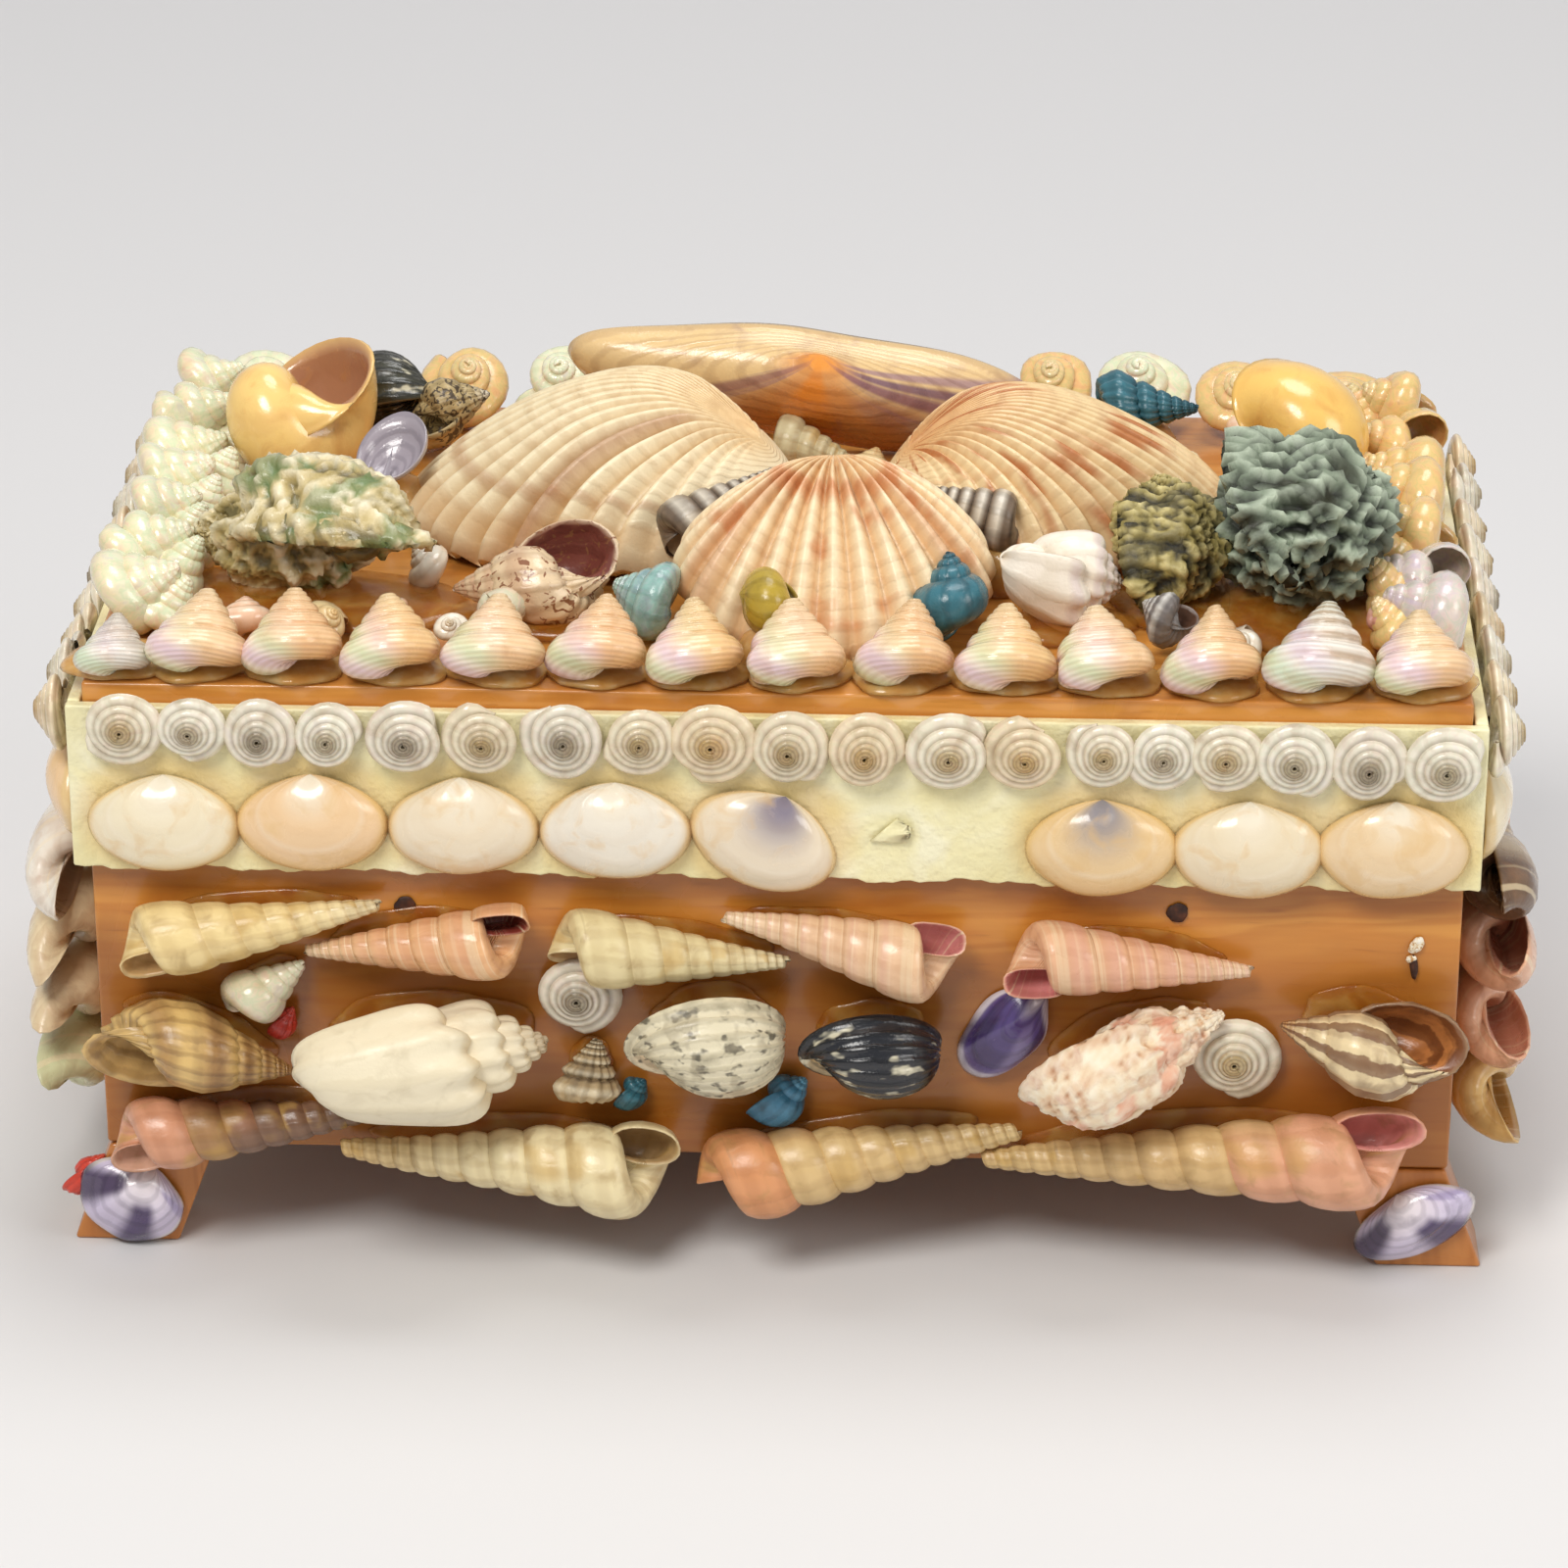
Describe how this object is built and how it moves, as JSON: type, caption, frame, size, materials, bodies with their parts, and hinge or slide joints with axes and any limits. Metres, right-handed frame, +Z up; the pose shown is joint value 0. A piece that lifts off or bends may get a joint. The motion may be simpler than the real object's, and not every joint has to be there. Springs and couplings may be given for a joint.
{
  "type": "shell box",
  "caption": "Wooden trinket box on splayed legs with a lift-off lid, its lid, skirt and sides covered in glued sea shells.",
  "frame": {"origin": "centre of the footprint, on the surface that the legs stand on", "axes": "+X to the right as seen from the front, +Y to the back, +Z up; the front with the bare card strip and the rows of turret shells faces -Y"},
  "size_m": [0.1992, 0.1364, 0.1099],
  "materials": {
    "pine": "varnished orange-brown pine, satin, with glue stains",
    "card": "pale yellow-green painted strip, slightly wrinkled",
    "pearl_shell": "mother-of-pearl shell with a glossy iridescent lustre",
    "cream_shell": "cream shell, satin",
    "peach_shell": "peach and pink shell, satin",
    "white_shell": "white ribbed shell, satin",
    "brown_shell": "brown and cream banded shell, satin",
    "black_shell": "black shell with cream flecks, glossy",
    "purple_shell": "purple and white clam shell, glossy inside",
    "yellow_shell": "smooth yellow-orange shell, glossy",
    "rough_shell": "rough green-grey encrusted shell, matte"
  },
  "bodies": {
    "root": {"body_front": "pine", "body_back": "pine", "body_left": "pine", "body_right": "pine", "body_floor": "pine", "leg_front_left": "pine", "leg_front_right": "pine", "leg_back_left": "pine", "leg_back_right": "pine", "lid_board": "pine", "skirt_front": "card", "skirt_back": "card", "skirt_left": "card", "skirt_right": "card", "pearl_row_front": "pearl_shell", "pearl_row_left": "pearl_shell", "pearl_row_right": "pearl_shell", "pearl_row_back": "pearl_shell", "button_row_front": "pearl_shell", "skirt_shells_left": "pearl_shell", "skirt_shells_right": "pearl_shell", "pearl_drop": "pearl_shell", "small_button": "pearl_shell", "pearl_button": "pearl_shell", "turret_upper_1": "cream_shell", "turret_upper_3": "cream_shell", "turret_lower_2": "cream_shell", "turret_lower_4": "cream_shell", "clam_row_front": "cream_shell", "skirt_shells_back": "cream_shell", "body_shells_back": "cream_shell", "cockle_left": "cream_shell", "cockle_front": "cream_shell", "flecked_nerite": "cream_shell", "turret_upper_2": "peach_shell", "turret_upper_4": "peach_shell", "turret_upper_5": "peach_shell", "turret_lower_1": "peach_shell", "turret_lower_3": "peach_shell", "cockle_right": "peach_shell", "worn_whelk": "peach_shell", "body_shells_left": "peach_shell", "body_shells_right": "peach_shell", "ribbed_conch": "white_shell", "white_conch": "white_shell", "whelk_left": "brown_shell", "striped_whelk": "brown_shell", "beaded_snail": "brown_shell", "open_whelk": "brown_shell", "black_nerite": "black_shell", "dark_nerite": "black_shell", "purple_clam": "purple_shell", "foot_clam_left": "purple_shell", "foot_clam_right": "purple_shell", "wedge_clam": "purple_shell", "moon_snail_left": "yellow_shell", "moon_snail_right": "yellow_shell", "oyster": "rough_shell", "murex": "rough_shell", "turban": "rough_shell"}
  },
  "joints": []
}
